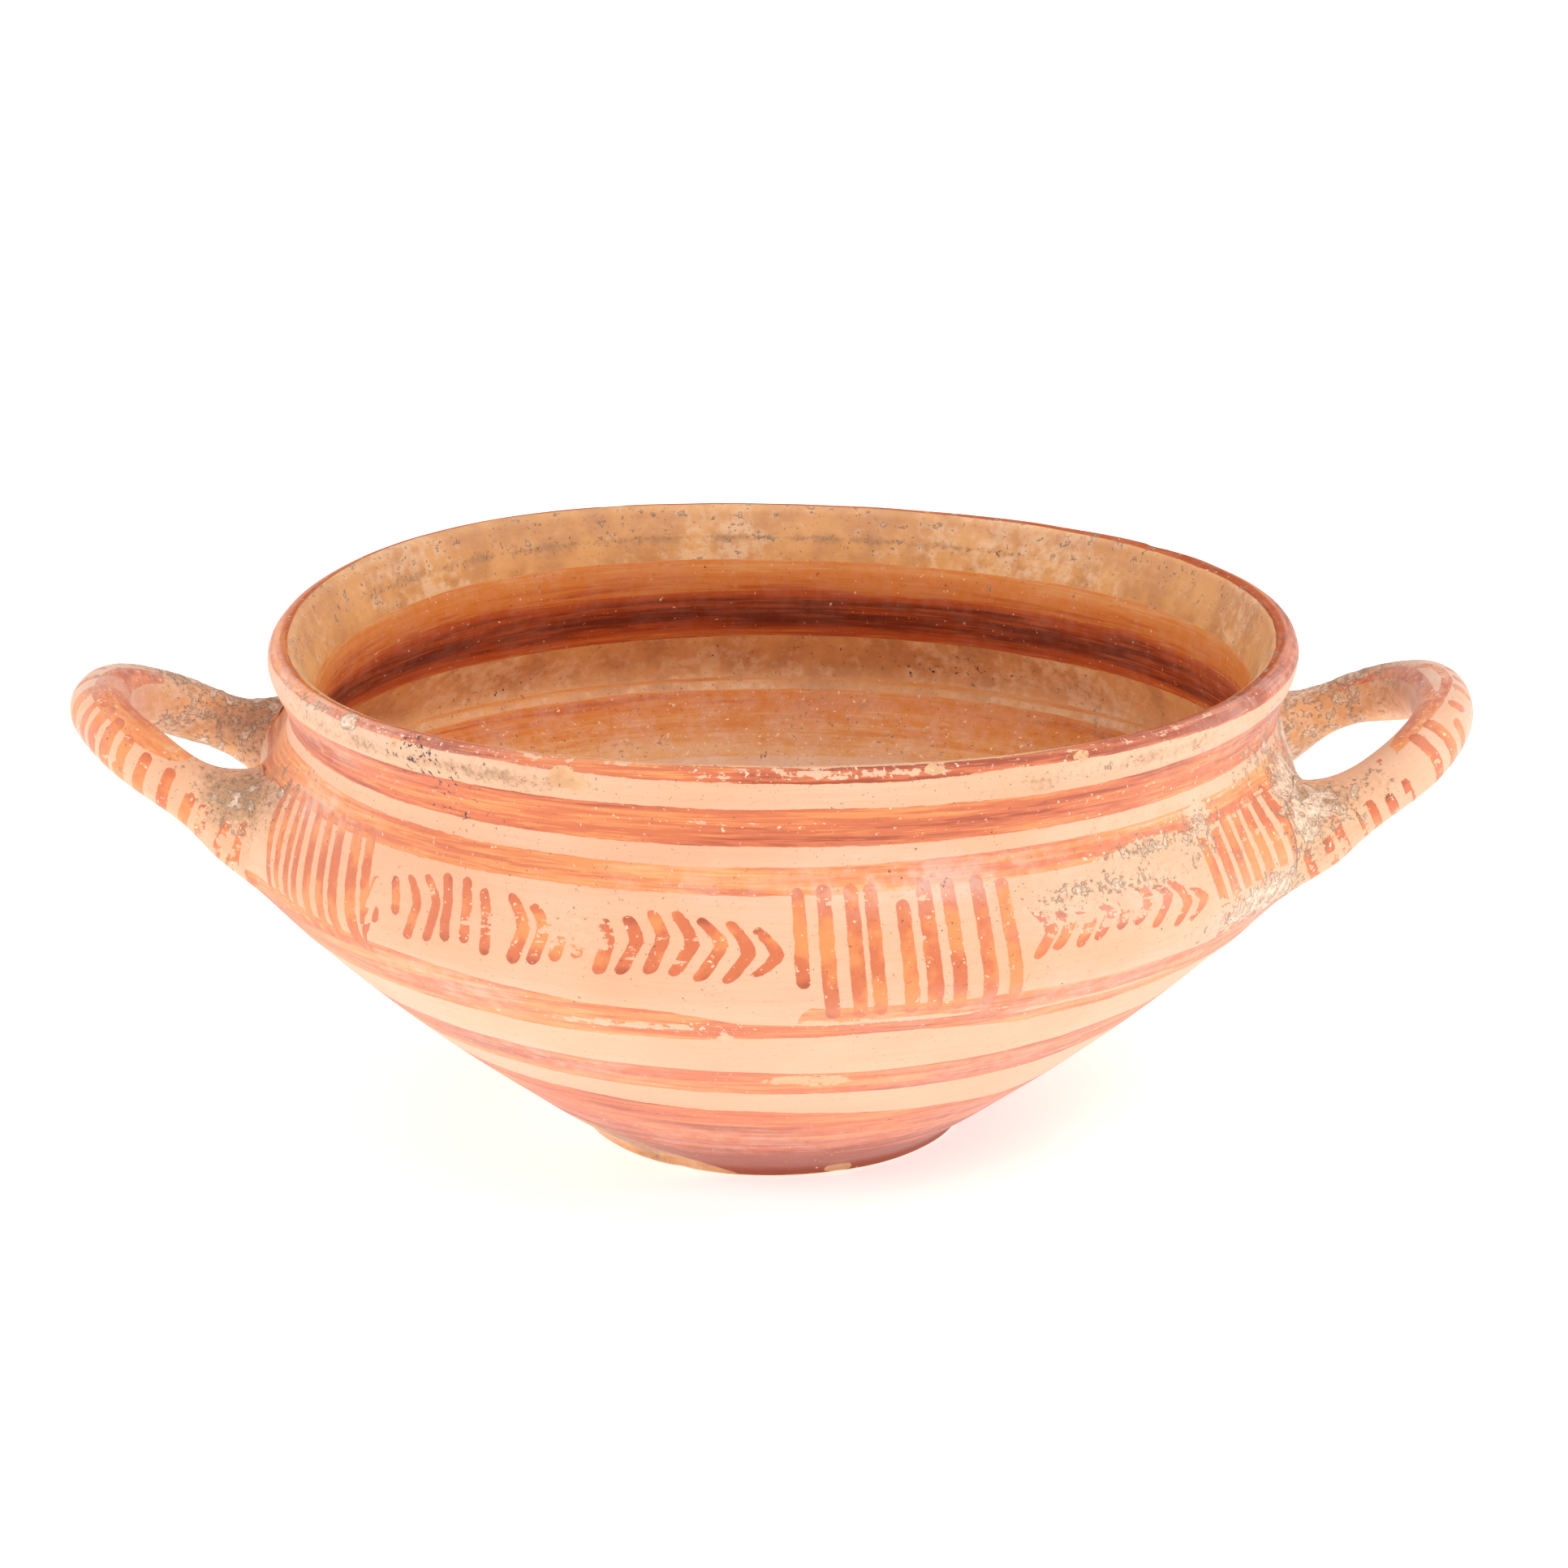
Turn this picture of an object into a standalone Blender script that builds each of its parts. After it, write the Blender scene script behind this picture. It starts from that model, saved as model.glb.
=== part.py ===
"""A wheel-thrown cup of fired clay with two loop handles, painted in antiquity with red bands.

Metres, +Z up. The origin is the middle of the foot's underside. The handles point along -X and +X.
The bowl is turned from a profile, and the handles are round rolls of clay, pressed on at the shoulder
and smoothed into it, so the cup is one solid.
"""

import math

import bmesh
import bpy
from mathutils import Vector

# Bowl: radii are to the outer face, heights are above the foot's underside.
CUP_HEIGHT = 0.0798
RIM_RADIUS = 0.0800
NECK_RADIUS = 0.0769
NECK_HEIGHT = 0.0685
SHOULDER_RADIUS = 0.0824
SHOULDER_HEIGHT = 0.0485
FOOT_RADIUS = 0.0300
FOOT_HEIGHT = 0.0018
FOOT_EDGE_ROUND = 0.0007
LIP_THICKNESS = 0.0046
WALL = 0.0045
FLOOR = 0.0050

# How full the curves of the bowl are.
FOOT_FLARE = math.radians(33)
FLARE_PULL = 0.0285
BELLY_PULL = 0.0050
SHOULDER_PULL = 0.0065
NECK_PULL = 0.0032
FLOOR_START = 0.15
FLOOR_PULL = 0.0120

# What the fire and the hand did to the round: the rim stands a little to the right, is higher at the
# left, rises and falls in two and in three slow waves, and is slightly oval.
RIM_SHIFT = 0.0021
RIM_TILT = 0.0009
RIM_TWO_WAVES = 0.0005
RIM_THREE_WAVES = 0.0007
RIM_OVAL = 0.0020
OVAL_TURN = math.radians(60)
TWO_WAVES_TURN = math.radians(125)
THREE_WAVES_TURN = math.radians(141)

# Handles: both stand out equally far. The spread is from the loop's middle line to each arm at the
# shoulder, the lift is from the widest place of the shoulder up to the roots, and the rise is from the
# roots to the tip. The far arms are set on a little higher.
HANDLE_THICKNESS = 0.0094
HANDLE_OUT = 0.0214
FAR_LIFT = 0.0012
ROOT_THICKNESS = 0.0140
ROOT_LENGTH = 0.0150
ROOT_DEPTH = 0.0200
ARM_PULL = 0.80
LEFT_LIFT = 0.0062
LEFT_RISE = 0.0124
LEFT_SPREAD = 0.0202
LEFT_FULLNESS = 0.62
LEFT_ASIDE = 0.0005
RIGHT_LIFT = 0.0050
RIGHT_RISE = 0.0130
RIGHT_SPREAD = 0.0252
RIGHT_FULLNESS = 0.72
RIGHT_ASIDE = 0.0018

# Where the trimming core begins on the belly, how far up the neck the inner face runs, and where the
# floor's level middle ends, as shares of their curves.
CORE_START = 0.40
INNER_NECK_END = 0.75
FLOOR_LEVEL = 0.50

# How finely the curves are divided.
TURN_STEPS = 72
BELLY_STEPS = 12
INNER_BELLY_STEPS = 10
CORE_BELLY_STEPS = 8
SHOULDER_STEPS = 6
NECK_STEPS = 4
LIP_STEPS = 6
FLOOR_STEPS = 6
FOOT_EDGE_STEPS = 2
HANDLE_POINTS = 13
HANDLE_SIDES = 4
SEAM_WELD = 0.00005
WELD = 0.00002
CREASE = math.radians(50)

CLAY_COLOUR = (0.84, 0.42, 0.22, 1.0)
CLAY_ROUGHNESS = 0.75


def clear_scene():
    for obj in list(bpy.data.objects):
        bpy.data.objects.remove(obj, do_unlink=True)


def new_collection(name):
    collection = bpy.data.collections.new(name)
    bpy.context.scene.collection.children.link(collection)
    return collection


def fired_clay():
    material = bpy.data.materials.new("fired_clay")
    material.use_nodes = True
    shader = material.node_tree.nodes["Principled BSDF"]
    shader.inputs["Base Color"].default_value = CLAY_COLOUR
    shader.inputs["Roughness"].default_value = CLAY_ROUGHNESS
    shader.inputs["Metallic"].default_value = 0.0
    return material


def bezier(start, pull_start, pull_end, end, share):
    """The point at this share of a cubic curve, and its direction."""
    rest = 1.0 - share
    point = (
        start * rest**3
        + pull_start * (3 * rest**2 * share)
        + pull_end * (3 * rest * share**2)
        + end * share**3
    )
    along = (
        (pull_start - start) * (3 * rest**2)
        + (pull_end - pull_start) * (6 * rest * share)
        + (end - pull_end) * (3 * share**2)
    )
    return point, along.normalized()


def curve_points(ends, count, inset=0.0, low=0.0, high=1.0):
    """Evenly spaced points of a curve in the (radius, height) plane, moved in from the outer face."""
    points = []
    for step in range(count + 1):
        share = low + (high - low) * step / count
        point, along = bezier(*ends, share)
        inward = Vector((-along.y, along.x))
        points.append(point + inward * inset)
    return points


def belly_curve():
    """From the top of the foot up to the widest place of the shoulder."""
    foot = Vector((FOOT_RADIUS, FOOT_HEIGHT))
    shoulder = Vector((SHOULDER_RADIUS, SHOULDER_HEIGHT))
    flare = Vector((math.cos(FOOT_FLARE), math.sin(FOOT_FLARE))) * FLARE_PULL
    return foot, foot + flare, shoulder - Vector((0, BELLY_PULL)), shoulder


def shoulder_curve():
    """From the widest place up to the narrowest place of the neck."""
    shoulder = Vector((SHOULDER_RADIUS, SHOULDER_HEIGHT))
    neck = Vector((NECK_RADIUS, NECK_HEIGHT))
    pull = Vector((0, SHOULDER_PULL))
    return shoulder, shoulder + pull, neck - pull, neck


def neck_curve():
    """From the narrowest place of the neck up to the lip's outer edge."""
    neck = Vector((NECK_RADIUS, NECK_HEIGHT))
    lip = Vector((RIM_RADIUS, CUP_HEIGHT - LIP_THICKNESS / 2))
    pull = Vector((0, NECK_PULL))
    return neck, neck + pull, lip - pull, lip


def foot_points():
    """The foot's rounded lower edge, from the outside to its flat underside."""
    centre = Vector((FOOT_RADIUS - FOOT_EDGE_ROUND, FOOT_EDGE_ROUND))
    points = []
    for step in range(FOOT_EDGE_STEPS + 1):
        angle = -step * math.pi / 2 / FOOT_EDGE_STEPS
        points.append(centre + Vector((math.cos(angle), math.sin(angle))) * FOOT_EDGE_ROUND)
    return points + [Vector((0, 0))]


def lip_points(inner_end):
    """The rounded top of the lip, over from the inner face to the outer one."""
    half = LIP_THICKNESS / 2
    centre = Vector((RIM_RADIUS - half, CUP_HEIGHT - half))
    points = []
    for step in range(LIP_STEPS):
        angle = math.pi * (1 - step / LIP_STEPS)
        points.append(centre + Vector((math.cos(angle), math.sin(angle))) * half)
    return [inner_end] + points


def floor_points():
    """The inside of the bowl from the middle of its floor to where the wall begins."""
    edge, along = bezier(*belly_curve(), FLOOR_START)
    edge = edge + Vector((-along.y, along.x)) * WALL
    middle = Vector((0, FLOOR))
    level = Vector((edge.x * FLOOR_LEVEL, FLOOR))
    points = []
    for step in range(FLOOR_STEPS):
        share = step / FLOOR_STEPS
        points.append(bezier(middle, level, edge - along * FLOOR_PULL, edge, share)[0])
    return points


def bowl_profile():
    """Out along the floor, up the inner face, over the lip and down the outer face to the foot."""
    inner_neck = curve_points(neck_curve(), NECK_STEPS, WALL, high=INNER_NECK_END)
    inner = (
        floor_points()
        + curve_points(belly_curve(), INNER_BELLY_STEPS, WALL, low=FLOOR_START)[:-1]
        + curve_points(shoulder_curve(), SHOULDER_STEPS, WALL)[:-1]
        + inner_neck[:-1]
    )
    outer = (
        curve_points(neck_curve(), NECK_STEPS)[:0:-1]
        + curve_points(shoulder_curve(), SHOULDER_STEPS)[:0:-1]
        + curve_points(belly_curve(), BELLY_STEPS)[::-1]
    )
    return inner + lip_points(inner_neck[-1]) + outer + foot_points()


def core_profile():
    """A solid that fills the bowl out to the middle of its wall, which trims the handles' ends."""
    half_wall = WALL / 2
    outer = curve_points(shoulder_curve(), SHOULDER_STEPS, half_wall)[:0:-1]
    outer += curve_points(belly_curve(), CORE_BELLY_STEPS, half_wall, low=CORE_START)[::-1]
    return [Vector((0, outer[0].y))] + outer + [Vector((0, outer[-1].y))]


def turned(name, profile, collection):
    """A profile in the XZ plane turned round the Z axis."""
    mesh = bpy.data.meshes.new(name)
    points = [(point.x, 0.0, point.y) for point in profile]
    mesh.from_pydata(points, [(i, i + 1) for i in range(len(points) - 1)], [])
    obj = bpy.data.objects.new(name, mesh)
    collection.objects.link(obj)
    screw = obj.modifiers.new("Turn", "SCREW")
    screw.axis = "Z"
    screw.angle = math.tau
    screw.steps = TURN_STEPS
    screw.render_steps = TURN_STEPS
    screw.use_merge_vertices = True
    screw.merge_threshold = SEAM_WELD
    return made_mesh(obj)


def made_mesh(obj):
    """The object with its modifiers applied, its loose seams welded."""
    name = obj.name
    material = obj.data.materials[:]
    collection = obj.users_collection[0]
    graph = bpy.context.evaluated_depsgraph_get()
    mesh = bpy.data.meshes.new_from_object(obj.evaluated_get(graph))
    place = obj.matrix_world.copy()
    bpy.data.objects.remove(obj, do_unlink=True)
    made = bpy.data.objects.new(name, mesh)
    made.matrix_world = place
    collection.objects.link(made)
    work = bmesh.new()
    work.from_mesh(mesh)
    bmesh.ops.remove_doubles(work, verts=work.verts, dist=WELD)
    work.to_mesh(mesh)
    work.free()
    if material and not mesh.materials:
        mesh.materials.append(material[0])
    return made


def eased(share):
    share = min(max(share, 0.0), 1.0)
    return share * share * (3 - 2 * share)


def rim_wave(turn):
    """How far the rim stands above its mean height in this direction."""
    return (
        -RIM_TILT * math.cos(turn)
        + RIM_TWO_WAVES * math.cos(2 * (turn - TWO_WAVES_TURN))
        + RIM_THREE_WAVES * math.cos(3 * (turn - THREE_WAVES_TURN))
    )


def warp(obj):
    """Moves the upper part of the round bowl as the fire and the hand left it."""
    belly = SHOULDER_HEIGHT - BELLY_PULL
    for vertex in obj.data.vertices:
        turn = math.atan2(vertex.co.y, vertex.co.x)
        sideways = eased((vertex.co.z - belly) / (NECK_HEIGHT - belly))
        upwards = eased((vertex.co.z - SHOULDER_HEIGHT) / (CUP_HEIGHT - SHOULDER_HEIGHT))
        oval = 1 + RIM_OVAL / RIM_RADIUS * math.cos(2 * (turn - OVAL_TURN)) * upwards
        vertex.co.x *= oval
        vertex.co.y *= oval
        vertex.co.x += RIM_SHIFT * sideways
        vertex.co.z += rim_wave(turn) * upwards


def handle_line(side, lift, rise, spread, fullness, aside):
    """Points of a loop's middle line, from its near arm round to its far arm, with their half thickness."""
    root_height = SHOULDER_HEIGHT + lift
    inner = SHOULDER_RADIUS - ROOT_DEPTH
    lowest = root_height - ROOT_DEPTH * rise / HANDLE_OUT
    tip = Vector((SHOULDER_RADIUS + HANDLE_OUT, 0, root_height + rise))
    points = []
    for arm in (-1, 1):
        root = Vector((inner, arm * spread, lowest + (FAR_LIFT if arm > 0 else 0)))
        out = Vector((tip.x - root.x, 0, tip.z - root.z))
        ends = (root, root + out * ARM_PULL, tip + Vector((0, arm * spread * fullness, 0)), tip)
        shares = [step / (HANDLE_POINTS - 1) for step in range(HANDLE_POINTS)]
        arm_points = [bezier(*ends, share)[0] for share in shares]
        points += arm_points if arm < 0 else arm_points[-2::-1]
    line = []
    for point in points:
        swell = 1 - eased((point.x - (SHOULDER_RADIUS - WALL)) / ROOT_LENGTH)
        thickness = HANDLE_THICKNESS + (ROOT_THICKNESS - HANDLE_THICKNESS) * swell**2
        line.append((Vector((side * point.x, point.y + aside, point.z)), thickness / 2))
    return line


def handle(name, line, collection):
    """A roll of clay along the line."""
    curve = bpy.data.curves.new(name, "CURVE")
    curve.dimensions = "3D"
    curve.bevel_depth = 1.0
    curve.bevel_resolution = HANDLE_SIDES
    curve.use_fill_caps = True
    spline = curve.splines.new("POLY")
    spline.points.add(len(line) - 1)
    for place, (point, radius) in zip(spline.points, line):
        place.co = (*point, 1.0)
        place.radius = radius
    obj = bpy.data.objects.new(name, curve)
    collection.objects.link(obj)
    return made_mesh(obj)


def combine(obj, other, operation):
    boolean = obj.modifiers.new(operation.title(), "BOOLEAN")
    boolean.operation = operation
    boolean.solver = "EXACT"
    boolean.object = other
    return made_mesh(obj)


def build():
    clear_scene()
    parts = new_collection("painted_cup")
    cutters = new_collection("cutters")
    cup = turned("cup", bowl_profile(), parts)
    cup.data.materials.append(fired_clay())
    core = turned("bowl_core", core_profile(), cutters)
    warp(cup)
    warp(core)
    left = handle_line(-1, LEFT_LIFT, LEFT_RISE, LEFT_SPREAD, LEFT_FULLNESS, LEFT_ASIDE)
    right = handle_line(1, RIGHT_LIFT, RIGHT_RISE, RIGHT_SPREAD, RIGHT_FULLNESS, RIGHT_ASIDE)
    for name, line in (("left_handle", left), ("right_handle", right)):
        loop = handle(name, line, cutters)
        loop = combine(loop, core, "DIFFERENCE")
        cup = combine(cup, loop, "UNION")
        loop.hide_render = True
        loop.display_type = "WIRE"
    core.hide_render = True
    core.display_type = "WIRE"
    cup.data.shade_smooth()
    cup.data.set_sharp_from_angle(angle=CREASE)


build()
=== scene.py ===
"""A painted two-handled cup of fired clay on a pale floor, seen from a little above its rim."""

import math
from functools import partial

import bmesh
import bpy
import numpy as np
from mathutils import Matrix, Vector, noise


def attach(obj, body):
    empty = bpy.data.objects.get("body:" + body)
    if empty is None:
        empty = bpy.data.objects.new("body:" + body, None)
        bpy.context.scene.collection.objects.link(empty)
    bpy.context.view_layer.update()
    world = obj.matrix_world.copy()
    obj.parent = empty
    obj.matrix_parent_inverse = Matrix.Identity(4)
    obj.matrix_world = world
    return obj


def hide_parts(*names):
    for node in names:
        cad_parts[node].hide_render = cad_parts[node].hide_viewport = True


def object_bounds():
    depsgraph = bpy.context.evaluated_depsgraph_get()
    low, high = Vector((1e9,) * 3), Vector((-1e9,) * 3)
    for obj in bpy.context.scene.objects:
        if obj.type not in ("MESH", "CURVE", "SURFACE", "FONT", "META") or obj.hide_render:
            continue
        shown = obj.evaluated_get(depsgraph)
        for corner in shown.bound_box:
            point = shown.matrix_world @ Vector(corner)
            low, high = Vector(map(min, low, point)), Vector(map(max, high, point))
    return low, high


MM = 0.001
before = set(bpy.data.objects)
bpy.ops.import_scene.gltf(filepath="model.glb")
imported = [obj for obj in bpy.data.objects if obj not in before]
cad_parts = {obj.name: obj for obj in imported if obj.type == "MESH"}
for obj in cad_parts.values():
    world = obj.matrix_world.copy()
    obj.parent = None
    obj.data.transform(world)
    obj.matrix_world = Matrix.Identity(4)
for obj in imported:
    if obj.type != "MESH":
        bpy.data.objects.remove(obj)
cad_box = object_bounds()

# The studio: softboxes as (name, place, height they are aimed at, watts), in metres, and a glowing table.
SOFTBOXES = [
    ("left_softbox", (-1.5, -0.35, 0.5), 0.05, 12.5), ("right_softbox", (1.5, -0.4, 0.55), 0.05, 6.5),
    ("top_softbox", (0.6, -0.6, 1.4), 0.03, 14.5),
]
SOFTBOX_SIZE = 0.9
WORLD_STRENGTH = 0.54
TABLE_GLOW = 0.53

# The bowl's profile as (radius, height) in mm: out along the floor, up the inner face, over the lip,
# down the outer face and in under the foot.
PROFILE = [
    (0, 5.0), (15.0, 4.95), (30.0, 7.7), (38.05, 12.8), (46.5, 19.2), (57.2, 28.0), (67.0, 36.7),
    (73.7, 43.9), (79.0, 49.0), (76.3, 54.3), (73.8, 61.1), (71.9, 67.4), (73.65, 74.0),
    (75.76, 77.95), (75.74, 79.18), (77.74, 80.09), (79.5, 79.25), (80.22, 77.67),
    (79.62, 75.05), (78.18, 72.71), (76.47, 68.52), (77.35, 64.81), (78.56, 61.05), (80.32, 56.98),
    (81.71, 53.02), (82.9, 48.96), (81.01, 45.16), (76.89, 40.39), (69.86, 33.28), (60.05, 24.48),
    (49.54, 15.81), (39.51, 8.3), (33.3, 3.75), (29.6, 1.5), (29.9, 0.25), (28.8, 0), (25.0, 0),
    (12.0, 0), (0, 0),
]
COLUMNS = 144
SUBDIVISIONS = 2
# The lip's middle and how tightly it bends, the way from its crest to the wall, and a point that turns the
# heights of painted edges on it into mm along the surface.
LIP_HEIGHT, LIP_RADIUS, LIP_BEND = 77.5, 77.7, 2.3
LIP_RUN, LIP_TOP, LIP_SLOPE = 3.6, 80.4, 0.93
# How the fire and the hand pulled the bowl out of round: mm to the right, and a share of the radius.
NECK_LEAN = 2.1
MOUTH_OVAL, OVAL_TURN = 2.0 / 80.0, 60
# The frieze's lowest and highest point, and a degree round it, in mm.
FRIEZE = 41, 64
DEGREE = 1.42

# Where the handles' roots open in the wall: four columns by four rows round each, in mm.
ROOT_LOW, ROOT_HIGH = 45.16, 61.05
ROOT_COLUMNS = 4
ROOT_TURNS = (-165.0, 165.0, -17.5, 20.0)
INNER_FACE_LIMIT = 77.2

# Handles in mm, as a loop's lift above the widest place, rise, spread, fullness and shift towards the back.
SHOULDER_RADIUS, SHOULDER_HEIGHT = 82.4, 48.5
WALL = 4.5
HANDLE_OUT = 21.4
ROOT_DEPTH = 20.0
FAR_LIFT = 1.2
ARM_PULL = 0.80
HANDLE_THICKNESS, ROOT_THICKNESS, ROOT_LENGTH = 9.4, 14.0, 15.0
LEFT = {"side": -1, "lift": 6.2, "rise": 12.4, "spread": 20.2, "fullness": 0.62, "aside": 0.5}
RIGHT = {"side": 1, "lift": 5.0, "rise": 13.0, "spread": 25.2, "fullness": 0.72, "aside": 1.8}
RING_SIDES = 16
RING_STEP = 3.7
ROOT_GAP = 3.0
ROUND_SHRINK = 0.9746
# Relief in mm: the size and height of lumps that the hand left, and of grains in the crust.
LUMP_SIZE, WALL_LUMPS, HANDLE_LUMPS = 11, 0.12, 0.30
CRUST_SIZE, CRUST_LEAST, CRUST_GRAINS = 1.7, 0.06, 0.28
BOX_MARGIN = 0.02
# Clay smeared over the roots reaches this far, and the far arms are this much slimmer underneath, in mm.
FILLET = 13.0
FAR_SLIMMER = 2.0

# Painted bands, as their upper and lower edges at (turn in degrees, height in mm). The front is at -90.
LIP_EDGE = [
    (-175, 78.0), (-150, 78.4), (-122, 78.3), (-105, 77.7), (-80, 77.4), (-68, 78.0), (-45, 77.8),
    (-20, 77.0), (30, 78.2), (100, 79.0), (150, 78.6),
]
# How far the lip's slip runs over its crest in mm, and how thickly it lies, as turns and values.
LIP_CREST = (-180, -135, -112, -85, -62, -45, 30, 90, 150), (0.8, 0.5, -0.1, -0.6, -0.2, 1.0, 1.5, 0.4, 0.2)
LIP_LOAD = (-180, -120, -60, 0, 120), (0.9, 0.98, 1.08, 1.08, 0.95)
FIRST_BAND = (
    [
        (-170, 75.1), (-150, 75.2), (-140, 74.8), (-110, 74.0), (-60, 74.0), (-30, 74.7), (40, 74.4),
        (120, 74.8),
    ],
    [
        (-170, 68.6), (-150, 68.5), (-110, 68.0), (-80, 68.0), (-60, 68.2), (-30, 68.4), (60, 68.1),
        (130, 68.6),
    ],
)
SECOND_BAND = (
    [(-155, 66.5), (-140, 65.6), (-100, 65.0), (-60, 65.9), (-20, 66.2), (60, 65.4), (130, 66.0)],
    [
        (-172, 57.0), (-162, 61.0), (-140, 61.3), (-110, 61.4), (-85, 61.5), (-50, 62.2), (-35, 62.3),
        (60, 61.6), (130, 61.3), (158, 61.0), (172, 57.0),
    ],
)
THIRD_BAND = (
    [
        (-165, 48.9), (-150, 48.5), (-135, 48.0), (-130, 47.7), (-120, 46.7), (-115, 46.0), (-110, 45.4),
        (-100, 44.7), (-96, 43.8), (-94, 42.8), (-88, 42.5), (-86.5, 46.0), (-60, 45.6), (-45, 45.4),
        (-40, 45.0), (-20, 45.6), (60, 46.0), (130, 46.8),
    ],
    [
        (-150, 40.1), (-140, 39.7), (-130, 39.4), (-120, 39.0), (-112, 38.7), (-100, 39.0), (-95.4, 39.2),
        (-94, 39.6), (-88, 42.2), (-86.5, 43.8), (-70, 42.8), (-60, 41.8), (-30, 41.3), (60, 41.0),
        (130, 40.4),
    ],
)
THIRD_BAND_FOOT = (
    [(-94.6, 42.8), (-88, 42.5), (-83, 42.7), (-74.5, 42.3), (-62, 41.2), (-30, 40.5), (-12, 40.2)],
    [(-94.6, 39.5), (-88, 39.7), (-83, 40.0), (-74.5, 40.2), (-62, 39.0), (-30, 39.4), (-12, 40.3)],
)
FOURTH_BAND = (
    [
        (-140, 32.2), (-120, 32.0), (-100, 31.5), (-80, 30.8), (-60, 31.3), (-45, 32.2), (60, 31.6),
        (140, 32.0),
    ],
    [
        (-140, 26.5), (-120, 26.2), (-100, 25.7), (-80, 25.5), (-60, 25.2), (-50, 25.5), (-40, 26.5),
        (90, 26.0),
    ],
)
FIFTH_BAND = (
    [
        (-135, 21.8), (-120, 21.5), (-110, 21.0), (-100, 20.7), (-90, 20.5), (-80, 19.7), (-70, 18.8),
        (-60, 18.0), (-50, 17.0), (-40, 16.3), (0, 17.5), (60, 19.0), (120, 20.5), (170, 21.5),
    ],
    [
        (-160, 9.0), (-134, 8.5), (-124, 5.5), (-112, 2.4), (-100, 0.4), (-40, 0.2), (20, 1.0),
        (80, 4.5), (140, 7.0),
    ],
)
# Each outer band with how thickly the slip lies: 0 is bare clay, 0.5 orange, 1 full red, 1.3 brown.
OUTER_BANDS = [
    (FIRST_BAND, 0.92), (SECOND_BAND, 0.72), (THIRD_BAND, 0.86), (THIRD_BAND_FOOT, 0.80),
    (FOURTH_BAND, 0.86), (FIFTH_BAND, 0.92),
]

# Bands inside, as upper and lower height and slip at heights.
INNER_BANDS = [
    # Heavy slip from 58.5 to 65.5 mm in the first band is partly thicker paint and partly painted shade under
    # the overhanging neck.
    (71.2, 57.2, [(57, 0.9), (58.5, 1.05), (60.5, 1.24), (64, 1.22), (65.5, 0.95), (68, 0.8), (71, 0.72)]),
    (49.2, 48.1, [(48, 0.6), (49, 0.6)]),
    (47.2, 38.0, [(38, 0.5), (42, 0.68), (46, 0.85)]),
    (29.5, 20.5, [(20, 0.9), (29, 0.8)]),
]
FLOOR_DISC = 17.0

# Brush strokes of the frieze. A bar is (turn at height 60, width in degrees) and leans by its panel.
LEFT_BARS = [
    (-159, 1.0), (-157, 1.2), (-154.6, 1.3), (-152.5, 1.3), (-149.6, 1.6), (-146.9, 1.5), (-144.4, 1.7),
    (-141.2, 1.9), (-138.8, 1.5),
]
FRONT_BARS = [
    (-88.4, 1.4, 62.6, 49.3), (-85.8, 1.5, 63.0, 43.8), (-83.0, 1.5, 63.0, 43.8), (-81.0, 1.4, 63.0, 44.0),
    (-77.8, 1.5, 60.6, 44.0), (-75.4, 1.7, 63.0, 44.0), (-72.8, 1.5, 63.0, 44.0), (-69.6, 1.6, 63.0, 44.0),
    (-66.8, 1.5, 62.2, 44.2),
]
RIGHT_BARS = [
    (-38.6, 1.6), (-36.0, 1.7), (-33.4, 1.7), (-31.0, 1.6), (-28.3, 1.8), (-25.7, 1.6), (-23.0, 1.7),
    (-19.8, 1.7), (-17.3, 1.6),
]
# The chevrons between the panels, from top to bottom.
LEFT_CHEVRONS = [
    [(-136.2, 57.3), (-136.0, 56.9)],
    [(-134.9, 53.2), (-134.6, 51.0)],
    [(-133.6, 58.0), (-132.6, 55.6), (-132.0, 53.0)],
    [(-131.7, 58.8), (-129.9, 56.4), (-129.5, 55.0), (-129.7, 50.2)],
    [(-129.3, 59.3), (-127.3, 56.6), (-127.0, 55.4), (-127.2, 50.6)],
    [(-126.8, 60.2), (-125.6, 56.0), (-125.4, 53.6), (-124.9, 51.2)],
    [(-124.2, 60.2), (-123.2, 56.0), (-122.6, 51.5)],
    [(-121.8, 59.2), (-120.6, 55.4), (-119.9, 50.5)],
    [(-118.5, 59.3), (-116.7, 56.4), (-116.2, 55.0), (-116.8, 50.0)],
    [(-115.8, 58.3), (-114.2, 56.2), (-114.0, 55.0), (-114.6, 50.3)],
    [(-113.0, 57.0), (-112.2, 54.4), (-112.2, 51.2)],
    [(-110.5, 57.5), (-109.9, 54.6), (-110.0, 52.0)],
    [(-107.8, 57.6), (-107.0, 54.4), (-107.5, 50.1)],
    [(-105.6, 58.3), (-104.3, 55.8), (-104.1, 54.8), (-105.4, 50.4)],
    [(-103.3, 59.2), (-101.8, 56.6), (-101.5, 55.5), (-102.5, 50.8)],
    [(-100.8, 59.3), (-98.8, 56.2), (-98.5, 55.0), (-100.0, 50.8)],
    [(-98.3, 58.6), (-96.0, 56.0), (-95.6, 54.8), (-97.5, 50.2)],
    [(-95.2, 58.3), (-93.2, 55.4), (-92.8, 54.0), (-94.7, 50.0)],
    [(-92.6, 57.5), (-90.3, 54.8), (-89.9, 53.5), (-92.0, 51.0)],
]
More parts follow.
